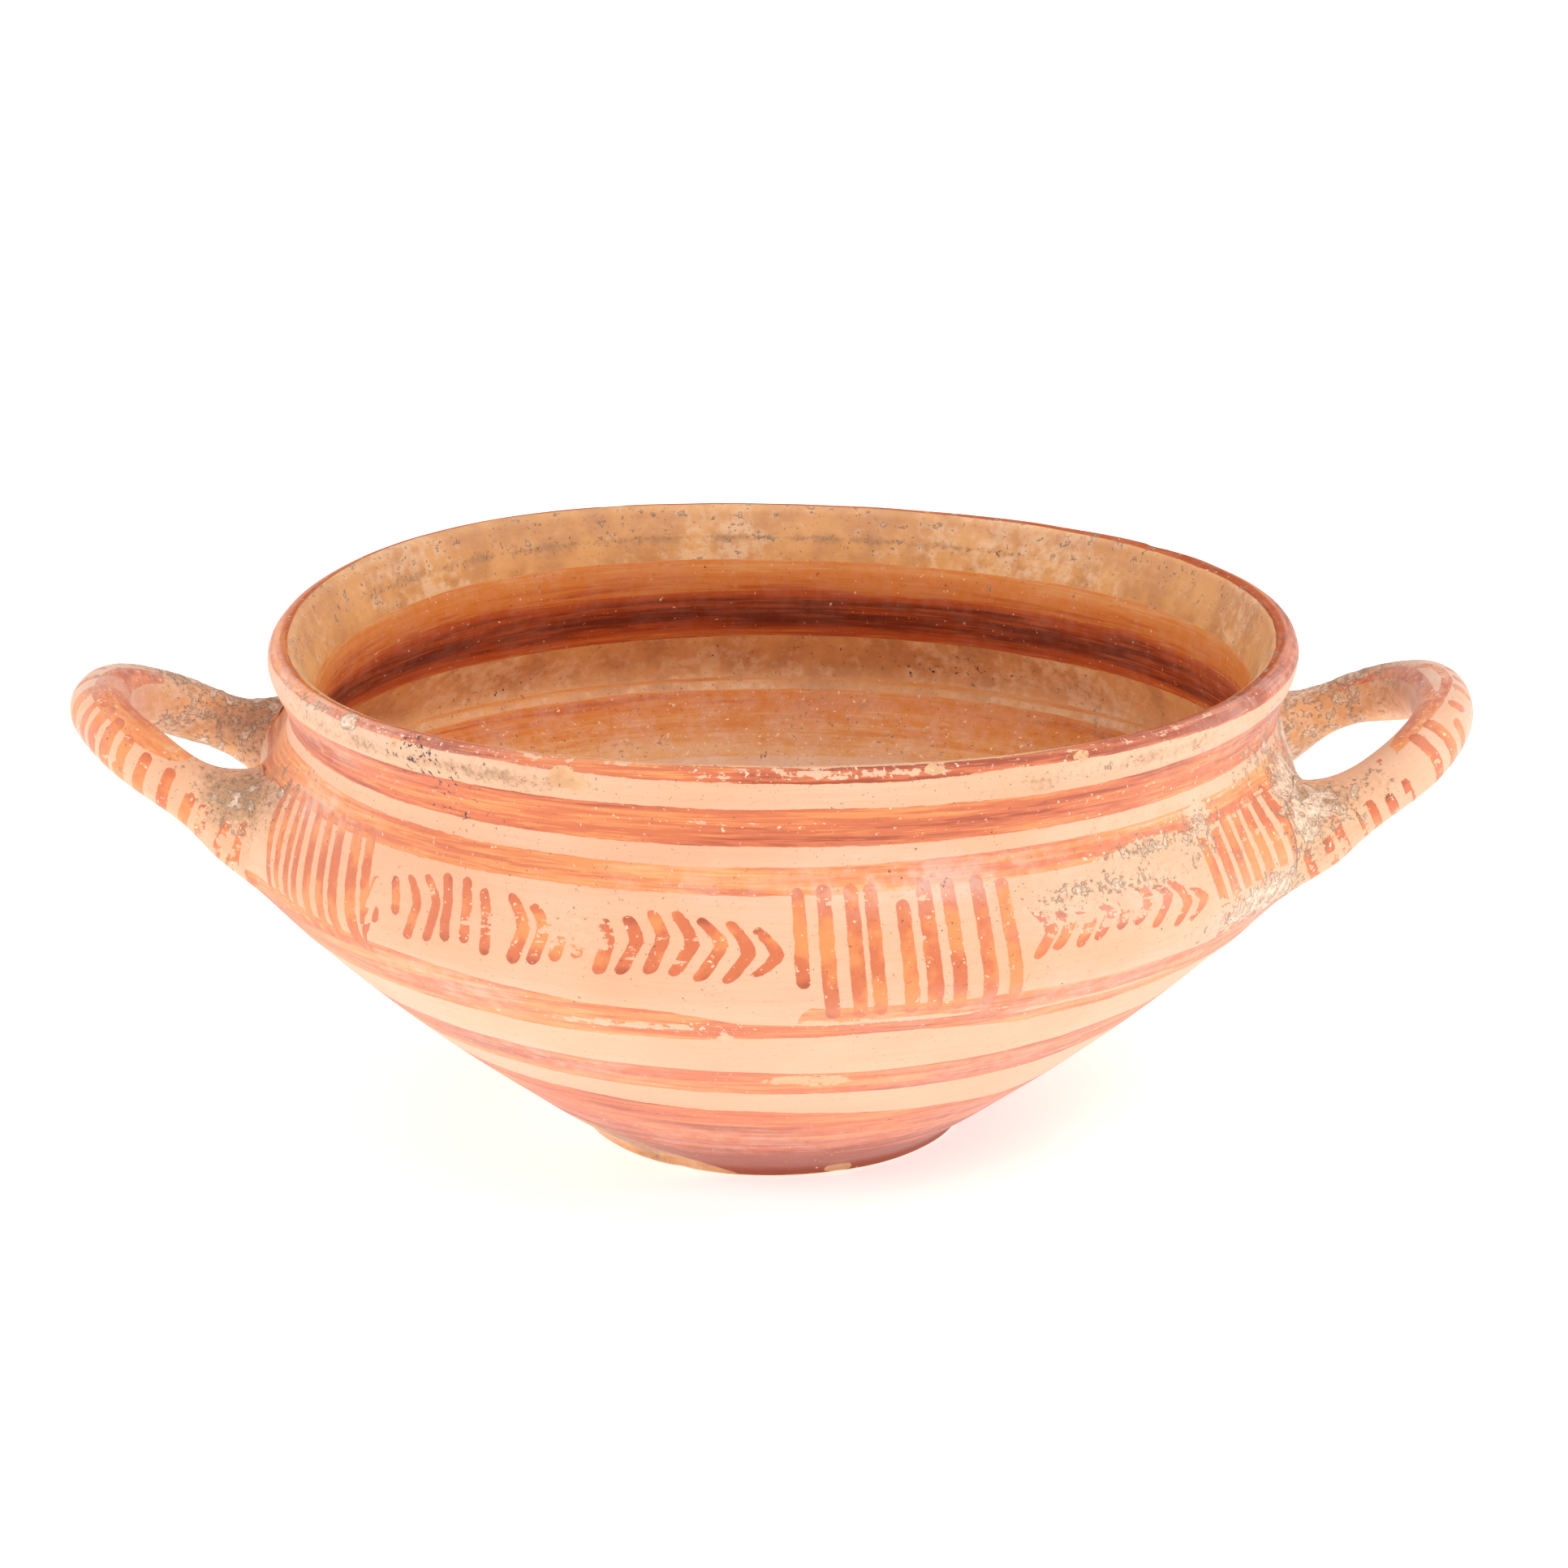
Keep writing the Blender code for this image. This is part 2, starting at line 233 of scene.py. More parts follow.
RIGHT_CHEVRONS = [
    [(-63.7, 58.0), (-61.8, 55.2), (-61.5, 54.0), (-63.4, 50.6)],
    [(-61.2, 56.6), (-59.3, 55.4), (-59.1, 54.8), (-61.1, 51.4)],
    [(-58.3, 56.0), (-56.8, 55.0), (-56.6, 54.5), (-58.4, 51.2)],
    [(-55.8, 56.6), (-54.2, 55.4), (-54.1, 54.8), (-56.2, 51.6)],
    [(-53.6, 57.0), (-52.0, 55.6), (-52.0, 55.0), (-53.2, 52.3)],
    [(-51.2, 59.0), (-49.1, 56.4), (-48.8, 55.2), (-51.0, 52.3)],
    [(-47.6, 57.0), (-46.0, 55.4), (-46.0, 54.5), (-48.6, 51.2)],
    [(-45.6, 57.0), (-43.4, 54.6), (-43.0, 53.2), (-45.4, 50.4)],
    [(-42.6, 55.0), (-40.6, 53.6), (-40.3, 52.5), (-43.4, 50.4)],
]
CHEVRON_WIDTH = 1.5
THIN_CHEVRON_WIDTH = 1.2

# Strokes across the handles, as (run at the top, angle, run at the bottom, angle, width in mm). The angle
# round the roll is 0 at its outer side, 90 on top and -90 underneath.
LEFT_STROKES = [
    (19.4, 25, 18.4, -120, 1.5), (22.2, 22, 21.0, -120, 1.5), (26.2, 12, 24.0, -110, 1.7),
    (28.8, 16, 27.8, -120, 1.7), (33.2, 34, 31.4, -110, 1.8), (37.2, 34, 35.8, -110, 1.8),
    (40.7, 40, 39.4, -100, 1.8), (43.6, 54, 42.2, -100, 1.8), (46.4, 62, 45.0, -100, 1.6),
    (48.6, 60, 47.3, -90, 1.2), (52.0, 56, 50.2, -90, 1.7), (56.2, 62, 55.2, -80, 1.7),
    (60.6, 65, 60.4, -80, 1.7), (65.0, 70, 65.4, -90, 1.7), (69.6, 70, 70.2, -90, 1.7),
    (74.4, 56, 75.4, -100, 1.6), (79.6, 40, 80.6, -100, 1.6), (85.0, 30, 86.0, -110, 1.6),
    (90.4, 20, 91.4, -120, 1.5), (95.0, 20, 96.0, -120, 1.4),
]
RIGHT_STROKES = [
    (19.6, 10, 18.9, -120, 1.5), (23.2, 4, 23.0, -120, 1.5), (25.5, 36, 25.2, -120, 1.4),
    (28.4, 16, 28.1, -120, 1.7), (28.2, 58, 28.0, 46, 1.4), (30.8, 12, 31.0, -120, 2.1),
    (30.2, 58, 30.6, 44, 1.4), (34.0, 0, 34.4, -120, 1.5), (36.9, 4, 37.2, -110, 1.7),
    (36.2, 66, 36.6, 58, 1.4), (42.6, 64, 42.8, -110, 1.6), (45.8, 64, 46.4, -100, 1.9),
    (49.2, 18, 49.0, -100, 1.5), (51.9, 46, 52.4, 8, 1.7), (57.6, 44, 56.8, -70, 1.9),
    (61.4, 40, 60.6, -80, 1.9), (65.8, 46, 65.0, -80, 1.9), (70.6, 50, 70.4, -90, 1.9),
    (75.6, 50, 76.0, -90, 1.9), (81.0, 40, 82.0, -100, 1.9), (86.6, 34, 88.0, -110, 1.9),
    (92.4, 30, 93.8, -110, 1.7), (98.0, 20, 99.4, -120, 1.7), (103.6, 20, 104.4, -120, 1.6),
]
# The band along the top of each loop, as (run, angle, width in mm).
LEFT_RIDGE = [
    (32.5, 76, 3.4), (37, 74, 6.4), (43, 80, 7.8), (50, 88, 8.2), (56, 100, 6.4), (64, 112, 3.6),
    (72, 116, 1.6),
]
RIGHT_RIDGE = [
    (39.0, 66, 2.2), (43.5, 80, 4.2), (50, 92, 4.6), (57, 100, 3.0), (64, 106, 2.4), (72, 110, 2.6),
    (82, 113, 2.2), (90, 116, 1.2),
]
RIGHT_LOWER_RIDGE = [
    (46, 66, 1.6), (53, 62, 1.5), (60, 52, 1.8), (66, 62, 1.8), (70, 84, 1.8), (71, 100, 1.6),
]
HANDLE_SLIP = 0.86
# Brush marks on the wall in mm, and the place across them that stands for the handles.
MARK_LENGTH, MARK_GAP, HANDLE_GRAIN = 20, 0.9, 3

# Patches as (turn, height, half width in degrees, half height in mm, amount). They fade outwards.
FLAKED = [
    (-110.5, 55.5, 4.2, 3.4, 0.9), (-120, 55.6, 5.5, 3.0, 0.6), (-124, 57.6, 6, 0.8, 0.5),
    (-120, 54.0, 5, 0.6, 0.4), (-133, 55, 3, 2, 0.35), (-98, 56.5, 8, 1.2, 0.25),
    (-110, 57.5, 3.5, 0.5, 0.9), (-109, 54.4, 3.0, 0.4, 0.9), (-97, 42.2, 5, 0.6, 0.9),
    (-104, 41.6, 9, 0.5, 0.95), (-78, 42.9, 11, 0.3, 0.85), (-95, 40.3, 0.7, 1.4, 1.0),
    (-53, 54.5, 12, 2.6, 0.6), (-78, 60.6, 12, 1.2, 0.35), (-54, 58.2, 12, 1.9, 0.95),
    (-47, 62.2, 9, 1.5, 0.85), (-38.4, 64.5, 2.4, 3.0, 0.85), (-60, 51.6, 12, 1.0, 0.2),
    (-28, 48.6, 13, 2.8, 0.95), (-28, 57, 14, 5, 0.3), (-15, 58, 5, 8, 0.9), (-32, 62.5, 10, 0.9, 0.55),
    (-130, 79.6, 30, 0.8, 0.45), (-84, 79.2, 16, 1.0, 0.62), (-45, 79.4, 30, 0.8, 0.35),
    (-130, 77.9, 18, 0.6, 0.45), (-88, 71.2, 18, 0.35, 0.75), (-52, 71.8, 12, 0.35, 0.6),
    (-128, 50, 10, 1.6, 0.2), (-74, 49, 10, 1.5, 0.2), (-60, 42.4, 26, 0.5, 0.35),
    (60, 56, 40, 4, 0.35), (120, 57, 30, 4, 0.3), (20, 52, 14, 6, 0.5), (-35, 30, 30, 8, 0.12),
    (-92, 61.6, 25, 0.8, 0.2), (-30, 66, 20, 5, 0.25), (-100, 72, 60, 2, 0.1),
    (-100, 53, 8, 3, 0.35), (-76, 53, 12, 6, 0.25),
]
CRUSTED = [
    (-27, 48.0, 11, 3.6, 0.85), (-17, 60, 6, 8, 0.95), (-38.5, 62, 4, 4.0, 0.75), (-54, 58.6, 12, 2.0, 0.62),
    (-47, 62.4, 9, 1.6, 0.66), (-28, 57, 12, 5, 0.35), (-72, 61.5, 12, 1.6, 0.30), (-161, 60, 6, 6, 0.45),
    (-159, 66, 10, 5, 0.35), (-22, 69, 9, 6, 0.55), (-152, 79, 12, 1, 0.5), (-95, 79, 30, 0.9, 0.25),
    (160, 58, 10, 8, 0.5), (22, 56, 12, 8, 0.7), (100, 60, 20, 4, 0.3), (-50, 76.6, 16, 1.2, 0.42),
    (-3, 64, 10, 7, 0.85), (179, 60, 10, 5, 0.35), (-141, 79.0, 1.6, 1.0, 1.1),
]
# The earth patch at -110 degrees and 1.5 mm is painted shade along the foot's bottom edge.
SOILED_AND_SHADED = [
    (-161, 58, 5, 6, 0.7), (-156, 56, 3, 5, 0.45), (-148, 72, 14, 6, 0.3), (-145, 77, 14, 1.6, 0.7),
    (-126, 76.6, 16, 1.3, 0.95), (-126, 5, 12, 4, 0.9), (-110, 1.5, 30, 1.6, 0.5), (-14, 60, 7, 9, 0.9),
    (-50, 58.5, 14, 2.4, 0.6), (-46, 62.2, 10, 2, 0.6), (-90, 77.2, 30, 0.8, 0.3), (162, 58, 9, 8, 0.7),
    (16, 56, 9, 8, 0.6), (-84, 29.2, 5, 1.3, 0.5), (-34, 59, 10, 4, 0.4), (-50, 76.4, 18, 1.5, 0.7),
    (-27, 48, 12, 4, 0.5), (-3, 64, 10, 8, 0.85), (179, 60, 10, 6, 0.55),
]
BLOOMED = [
    (-76, 63, 14, 3.0, 0.6), (-100, 62.5, 10, 2.0, 0.3), (-150, 63, 8, 3, 0.5), (-126, 44, 10, 3, 0.5),
    (-60, 44, 20, 3, 0.35), (-148, 73, 8, 2, 0.35), (-45, 66, 14, 3, 0.3), (-120, 30, 14, 3, 0.35),
    (-60, 28, 16, 3, 0.3), (-95, 11, 30, 4, 0.3), (-50, 12, 16, 4, 0.35), (-30, 74, 14, 3, 0.3),
    (-52, 56, 12, 3, 0.3), (-27, 49, 12, 4, 0.6), (70, 64, 30, 4, 0.4), (130, 45, 20, 4, 0.4),
    (-150, 78.8, 22, 1.6, 0.55), (-20, 78.8, 20, 1.6, 0.35),
]
# Fresh-edged losses as (turn, height, half width in degrees, half height in mm, depth in mm).
CHIPS = [
    (-112.4, 77.4, 1.2, 1.5, 0.9), (-111.0, 76.8, 1.0, 1.1, 0.6), (-85.5, 29.3, 6.2, 1.6, 0.16),
    (-133.1, 78.2, 0.5, 0.5, 0.3), (-58, 78.9, 0.9, 0.6, 0.3), (-75, 79.2, 0.8, 0.6, 0.3),
    (-118, 1.2, 5.0, 1.0, 0.5), (-70, 0.9, 4.0, 0.7, 0.4), (40, 79.2, 1.4, 0.8, 0.4),
    (112, 79.3, 1.6, 0.8, 0.4), (75, 46, 1.6, 1.2, 0.3), (-20, 41, 1.4, 1.0, 0.25),
]
# Black specks: inside as patches, outside as (turn, height, radius in mm, density).
INNER_STAINS = [
    (68, 52.0, 9, 1.6, 0.8), (98, 53.5, 22, 1.0, 0.5), (30, 50, 6, 1.5, 0.5), (128, 50.5, 8, 2, 0.5),
]
SPECKS = [
    (-69.5, 16.7, 0.7, 1.6), (-69.0, 20.7, 0.5, 1.2), (-130.2, 77.2, 4.2, 0.9), (-84.6, 29.6, 0.7, 1.5),
    (-104.0, 36.0, 0.5, 1.2), (-57.5, 56.8, 0.6, 1.3), (-126, 71.0, 6.0, 0.6), (-47.2, 50.6, 0.6, 1.2),
]

# Wear and tan clay inside, as heights in mm and the amounts there.
INNER_WEAR = {
    "flaked": ((12, 37, 42, 48, 56, 70, 78), (0.5, 0.4, 0.3, 0.2, 0.05, 0.12, 0.2)),
    "crust": ((12, 40, 50, 60, 70, 78), (0.2, 0.25, 0.15, 0.05, 0.2, 0.35)),
    "soil_and_shade": ((12, 37, 39, 46, 50, 56, 62, 76), (0.3, 0.15, 0.35, 0.35, 0.35, 0.4, 0.2, 0.25)),
    "bloom": ((30, 39, 46, 50, 60, 66, 79), (0.1, 0.3, 0.2, 0.05, 0.05, 0.1, 0.1)),
    "tan": ((32, 37, 39, 50, 56, 72, 79), (0.0, 0.05, 0.5, 0.75, 0.95, 1.0, 0.7)),
}
# Where the foot's slip ran out and tan clay shows: a direction, and the amounts in degrees from it.
BARE_TURN, BARE_FOOT = -126, ((-30, -8, 8, 34), (0.15, 0.9, 0.8, 0.1))
# The turning groove below the lip inside: its height, half width, and where round the wall it holds earth.
GROOVE_HEIGHT, GROOVE_HALF, GROOVE_TURNS = 75.1, 0.5, ((40, 60, 150, 170), (0, 1, 1, 0))

# Colours as they look in plain white light, before the studio's light is added.
CLAY, CLAY_PALE, CLAY_WARM = "#dca986", "#e0b393", "#d69e75"
TAN, TAN_DARK, TAN_WARM, TAN_PALE = "#d79d62", "#bd8048", "#d4934f", "#e8c49c"
# The thickest slip colours also stand for painted shade: outside towards the foot, inside under the neck.
SLIP_THIN, SLIP_ORANGE, SLIP_RED, SLIP_THICK_AND_SHADE = "#e6a468", "#e08a50", "#cc6c43", "#a24a2d"
INNER_THIN, INNER_ORANGE, INNER_RED, INNER_THICK_AND_SHADE = "#da9c60", "#cd7832", "#b25021", "#6c2912"
# The earth colour also serves as painted shade: along the foot's edge and round the crust patches.
BLOOM, SOIL_AND_SHADE, PORE, MANGANESE = "#e6c8ba", "#a37d5c", "#6e4f3b", "#44373a"
CRUST, CRUST_GREY = "#ecd4bc", "#c2a48a"
BREAK, BREAK_PALE = "#d19768", "#e2b68a"
FLAKE_PALE = "#ecd2b4"
SMOOTH = {"interpolation_type": "SMOOTHSTEP"}
COLOUR = {"data_type": "RGBA", "output": 2}
SUM, DIFFERENCE, PRODUCT, SCALED_SUM = (
    {"operation": kind} for kind in ("ADD", "SUBTRACT", "MULTIPLY", "MULTIPLY_ADD")
)


def eased(share):
    share = np.clip(share, 0.0, 1.0)
    return share * share * (3 - 2 * share)


def degrees_from(middle, turn):
    """How far round a direction lies from another one, from -180 to 180."""
    return (turn - middle + 180) % 360 - 180


def blend(old, new, share):
    return old * (1 - share) + new * share


def deselect():
    for obj in bpy.context.selected_objects:
        obj.select_set(False)


def activate(obj):
    deselect()
    obj.select_set(True)
    bpy.context.view_layer.objects.active = obj


def apply_modifier(obj, name):
    activate(obj)
    bpy.ops.object.modifier_apply(modifier=name)


def rim_wave(turn):
    """How far the rim stands above its mean height in this direction, in mm."""
    return (
        -0.9 * np.cos(turn)
        + 0.5 * np.cos(2 * (turn - math.radians(125)))
        + 0.7 * np.cos(3 * (turn - math.radians(141)))
    )


def warped(points):
    """Points of the round bowl where the fire and the hand left them, in mm."""
    x, y, z = points.T
    turn = np.arctan2(y, x)
    sideways = eased((z - 43.5) / 25.0)
    upwards = eased((z - 48.5) / 31.3)
    oval = 1 + MOUTH_OVAL * np.cos(2 * (turn - math.radians(OVAL_TURN))) * upwards
    return np.stack([x * oval + NECK_LEAN * sideways, y * oval, z + rim_wave(turn) * upwards], axis=1)


def unwarped(points):
    """Where points of the warped bowl were on the round one, in mm."""
    guess = points.copy()
    for _ in range(12):
        guess += points - warped(guess)
    return guess


def handle_line(side, lift, rise, spread, fullness, aside, count=400):
    """Evenly spaced points of a loop's middle line, near root to far, with their run and half thickness."""
    root_height = SHOULDER_HEIGHT + lift
    inner = SHOULDER_RADIUS - ROOT_DEPTH
    lowest = root_height - ROOT_DEPTH * rise / HANDLE_OUT
    tip = np.array([SHOULDER_RADIUS + HANDLE_OUT, 0, root_height + rise])
    share = np.linspace(0, 1, 200)[:, None]
    arms = []
    for arm in (-1, 1):
        root = np.array([inner, arm * spread, lowest + (FAR_LIFT if arm > 0 else 0)])
        out = np.array([tip[0] - root[0], 0, tip[2] - root[2]])
        pulls = root + out * ARM_PULL, tip + np.array([0, arm * spread * fullness, 0])
        rest = 1 - share
        arms.append(
            root * rest**3 + pulls[0] * 3 * rest**2 * share + pulls[1] * 3 * rest * share**2 + tip * share**3
        )
    line = np.concatenate([arms[0], arms[1][-2::-1]])
    run = np.concatenate([[0], np.cumsum(np.linalg.norm(np.diff(line, axis=0), axis=1))])
    even = np.linspace(0, run[-1], count)
    line = np.stack([np.interp(even, run, line[:, axis]) for axis in range(3)], axis=1)
    swell = 1 - eased((line[:, 0] - (SHOULDER_RADIUS - WALL)) / ROOT_LENGTH)
    thickness = HANDLE_THICKNESS + (ROOT_THICKNESS - HANDLE_THICKNESS) * swell**2
    line = line * [side, 1, 1] + [0, aside, 0]
    return line, even, thickness / 2


def turned_bowl():
    """The bowl's profile drawn point by point and spun round its axis."""
    bpy.ops.mesh.primitive_plane_add(size=0.01)
    bowl = bpy.context.active_object
    bpy.ops.object.mode_set(mode="EDIT")
    bpy.ops.mesh.select_all(action="SELECT")
    bpy.ops.mesh.merge(type="CENTER")
    place = Vector((0, 0, 0))
    for step, (radius, height) in enumerate(PROFILE):
        goal = Vector((radius * MM, 0, height * MM))
        if step == 0:
            bpy.ops.transform.translate(value=goal - place)
        else:
            bpy.ops.mesh.extrude_region_move(TRANSFORM_OT_translate={"value": goal - place})
        place = goal
    bpy.ops.mesh.select_all(action="SELECT")
    bpy.ops.mesh.spin(steps=COLUMNS, angle=math.tau, center=(0, 0, 0), axis=(0, 0, 1))
    bpy.ops.mesh.select_all(action="SELECT")
    bpy.ops.mesh.remove_doubles(threshold=1e-5)
    bpy.ops.mesh.normals_make_consistent(inside=False)
    bpy.ops.object.mode_set(mode="OBJECT")
    return bowl


def open_roots(bowl):
    """Deletes the wall's faces where the four arms of the handles spring from it."""
    bpy.ops.object.mode_set(mode="EDIT")
    bpy.ops.mesh.select_mode(type="FACE")
    bpy.ops.mesh.select_all(action="DESELECT")
    work = bmesh.from_edit_mesh(bowl.data)
    half = ROOT_COLUMNS / 2 * 360 / COLUMNS
    for face in work.faces:
        centre = face.calc_center_median() / MM
        turn = math.degrees(math.atan2(centre.y, centre.x))
        outwards = face.normal.x * centre.x + face.normal.y * centre.y > 0
        outside = outwards and math.hypot(centre.x, centre.y) > INNER_FACE_LIMIT
        near = any(abs(degrees_from(root, turn)) < half for root in ROOT_TURNS)
        face.select_set(outside and ROOT_LOW < centre.z < ROOT_HIGH and near)
    bmesh.update_edit_mesh(bowl.data)
    bpy.ops.mesh.delete(type="FACE")
    bpy.ops.object.mode_set(mode="OBJECT")


def handle_roll(loop):
    """A roll of clay along the loop's middle line, open at both ends, which stop short of the wall."""
    line, run, half = handle_line(**loop)
    flat = unwarped(line)
    clear = np.hypot(flat[:, 0], flat[:, 1]) - np.interp(flat[:, 2], *outer_face())
    outside = run[clear > ROOT_GAP]
    steps = np.linspace(outside[0], outside[-1], round((outside[-1] - outside[0]) / RING_STEP) + 1)
    curve = bpy.data.curves.new("handle", "CURVE")
    curve.dimensions = "3D"
    curve.bevel_depth = MM
    curve.bevel_resolution = RING_SIDES // 2 - 2
    curve.use_fill_caps = False
    spline = curve.splines.new("POLY")
    spline.points.add(len(steps) - 1)
    for place, at in zip(spline.points, steps):
        place.co = (*(float(np.interp(at, run, line[:, axis])) * MM for axis in range(3)), 1.0)
        place.radius = float(np.interp(at, run, half)) / ROUND_SHRINK
    roll = bpy.data.objects.new("handle", curve)
    bpy.context.scene.collection.objects.link(roll)
    activate(roll)
    bpy.ops.object.convert(target="MESH")
    return bpy.context.active_object


def outer_face():
    """Heights and radii of the bowl's outer face, from the foot up."""
    lip = PROFILE.index((77.74, 80.09))
    outer = np.array(PROFILE[lip + 1 : -3][::-1])
    return outer[:, 1], outer[:, 0]


def bridge_roots(cup):
    """Joins each end of the rolls to its opening in the wall with a soft fillet."""
    bpy.ops.object.mode_set(mode="EDIT")
    bpy.ops.mesh.select_mode(type="EDGE")
    for root in ROOT_TURNS:
        bpy.ops.mesh.select_all(action="DESELECT")
        work = bmesh.from_edit_mesh(cup.data)
        for edge in work.edges:
            middle = (edge.verts[0].co + edge.verts[1].co) / 2 / MM
            near = (middle.x > 0) == (abs(root) < 90) and (middle.y > 0) == (root > 0)
            edge.select_set(edge.is_boundary and near)
        bmesh.update_edit_mesh(cup.data)
        bpy.ops.mesh.bridge_edge_loops(number_cuts=1, interpolation="SURFACE", smoothness=0.8)
    bpy.ops.mesh.select_all(action="SELECT")
    bpy.ops.mesh.normals_make_consistent(inside=False)
    bpy.ops.object.mode_set(mode="OBJECT")


def set_points(obj, points):
    obj.data.vertices.foreach_set("co", (points * MM).astype(np.float32).ravel())
    obj.data.update()


def get_points(obj):
    points = np.empty(len(obj.data.vertices) * 3, dtype=np.float32)
    obj.data.vertices.foreach_get("co", points)
    return points.reshape(-1, 3).astype(float) / MM


def model_cup():
    deselect()
    cup = turned_bowl()
    open_roots(cup)
    set_points(cup, warped(get_points(cup)))
    rolls = [handle_roll(LEFT), handle_roll(RIGHT)]
    activate(cup)
    for roll in rolls:
        roll.select_set(True)
    bpy.ops.object.join()
    bridge_roots(cup)
    smooth = cup.modifiers.new("Smooth", "SUBSURF")
    smooth.levels = smooth.render_levels = SUBDIVISIONS
    apply_modifier(cup, smooth.name)
    bpy.ops.object.shade_smooth()
    cup.name = cup.data.name = "painted_cup"
    return cup


def around(knots, turn):
    """The height of an edge in this direction, read between its named points."""
    return np.interp(turn, *zip(*knots), period=360)


def patches(listed, turn, height):
    """How strongly the listed patches show here, from 0 to 1."""
    total = np.zeros_like(turn)
    for at, level, half_turn, half_height, amount in listed:
        aside = degrees_from(at, turn) / half_turn
        total = np.maximum(total, amount * np.exp(-0.7 * (aside**2 + ((height - level) / half_height) ** 2)))
    return total


def stroke_grid(across, along, strokes, unit):
    """Where places lie among strokes that stand side by side.

    Each stroke is (its middle line as (across, along) points, width). The result is the place counted in
    strokes, the mm from one stroke to the next, the mm inside the nearest stroke's ends, and its half width.
    """
    strokes = sorted(strokes, key=lambda stroke: sum(at for at, _ in stroke[0]) / len(stroke[0]))
    middles = []
    for points, _ in strokes:
        points = sorted(points, key=lambda point: point[1])
        middles.append(np.interp(along, [p[1] for p in points], [p[0] for p in points]))
    middles = np.array(middles)
    gaps = np.maximum(np.diff(middles, axis=0), 0.3)
    count = np.clip((across - middles[:-1]) / gaps, 0, 1).sum(axis=0)
    count += np.minimum((across - middles[0]) / gaps[0], 0) + np.maximum((across - middles[-1]) / gaps[-1], 0)
    nearest = np.clip(np.rint(count), 0, len(strokes) - 1).astype(int)
    between = np.clip(np.floor(count), 0, len(strokes) - 2).astype(int)
    step = gaps[between, np.arange(len(across))] * unit
    high = np.array([max(p[1] for p in points) for points, _ in strokes])[nearest]
    low = np.array([min(p[1] for p in points) for points, _ in strokes])[nearest]
    end = np.minimum(high - along, along - low)
    end = np.where((count < -0.5) | (count > len(strokes) - 0.5), -9.0, end)
    return count, step, end, np.array([width for _, width in strokes])[nearest] * unit / 2


def frieze_strokes():
    """Every stroke of the frieze as (points, width in degrees)."""
    strokes = []
    for at, width in LEFT_BARS:
        down = [(at + 0.2 * d + 0.01 * d * d - 0.2, 61.0 - d) for d in (-2, 1, 3, 6, 9, 12, 15)]
        strokes.append((down, width))
    for at, width, top, bottom in FRONT_BARS:
        strokes.append(([(at + 0.125 * (60 - h), h) for h in (top, 50, bottom)], width))
    for at, width in RIGHT_BARS:
        strokes.append(([(at + 0.18 * (60 - h), h) for h in (63.6, 56, 50, 45)], width))
    for points in LEFT_CHEVRONS + RIGHT_CHEVRONS:
        strokes.append((points, CHEVRON_WIDTH if points[0][0] > -119 else THIN_CHEVRON_WIDTH))
    # The back repeats the front's plan: bars by the handles and in the middle, chevrons between.
    for first, count in ((17.4, 9), (90.0, 9), (139.0, 9)):
        strokes += [([(first + 2.65 * i, 61.3), (first + 2.65 * i + 1.6, 44.5)], 1.4) for i in range(count)]
    for first, count in ((43.2, 17), (115.6, 8)):
        for i in range(count):
            at = first + 2.6 * i
            strokes.append(([(at, 58.6), (at + 2.2, 54.8), (at + 0.6, 50.6)], CHEVRON_WIDTH))
    return strokes


def loop_places(points, loop):
    """Nearest run along a loop's middle line in mm, angle round the roll and mm clear of the roll."""
    line, run, half = handle_line(**loop)
    along = np.gradient(line, axis=0)
    along /= np.linalg.norm(along, axis=1)[:, None]
    out = np.array([loop["side"] * HANDLE_OUT, 0, loop["rise"]])
    up = np.cross(out, [0, 1, 0])
    up = up / np.linalg.norm(up) * np.sign(up[2])
    outer = np.cross(along, up)
    outer /= np.linalg.norm(outer, axis=1)[:, None]
    outer *= np.sign(outer[len(outer) // 2] @ out)
    upper = np.cross(along, outer)
    upper *= np.sign(upper[:, 2:3])
    nearest = np.array([np.argmin(((line - point) ** 2).sum(axis=1)) for point in points])
    arm = points - line[nearest]
    angle = np.degrees(np.arctan2((arm * upper[nearest]).sum(axis=1), (arm * outer[nearest]).sum(axis=1)))
    return run[nearest], angle, np.linalg.norm(arm, axis=1) - half[nearest]


def handle_paint(run, angle, strokes, ridges):
    """Signed distance in mm into the bands along a handle, and the grid of its strokes."""
    arc = HANDLE_THICKNESS / 2 * math.pi / 180
    lines = [([(top, high * arc), (bottom, low * arc)], width) for top, high, bottom, low, width in strokes]
    grid = stroke_grid(run, angle * arc, lines, 1.0)
    edge = np.full(run.shape, -9.0)
    for ridge in ridges:
        stops, angles, widths = zip(*ridge)
        middle = np.interp(run, stops, angles) * arc
        half = np.interp(run, stops, widths) / 2
        inside = np.minimum(half - abs(angle * arc - middle), np.minimum(run - stops[0], stops[-1] - run))
        edge = np.maximum(edge, inside)
    return edge, grid


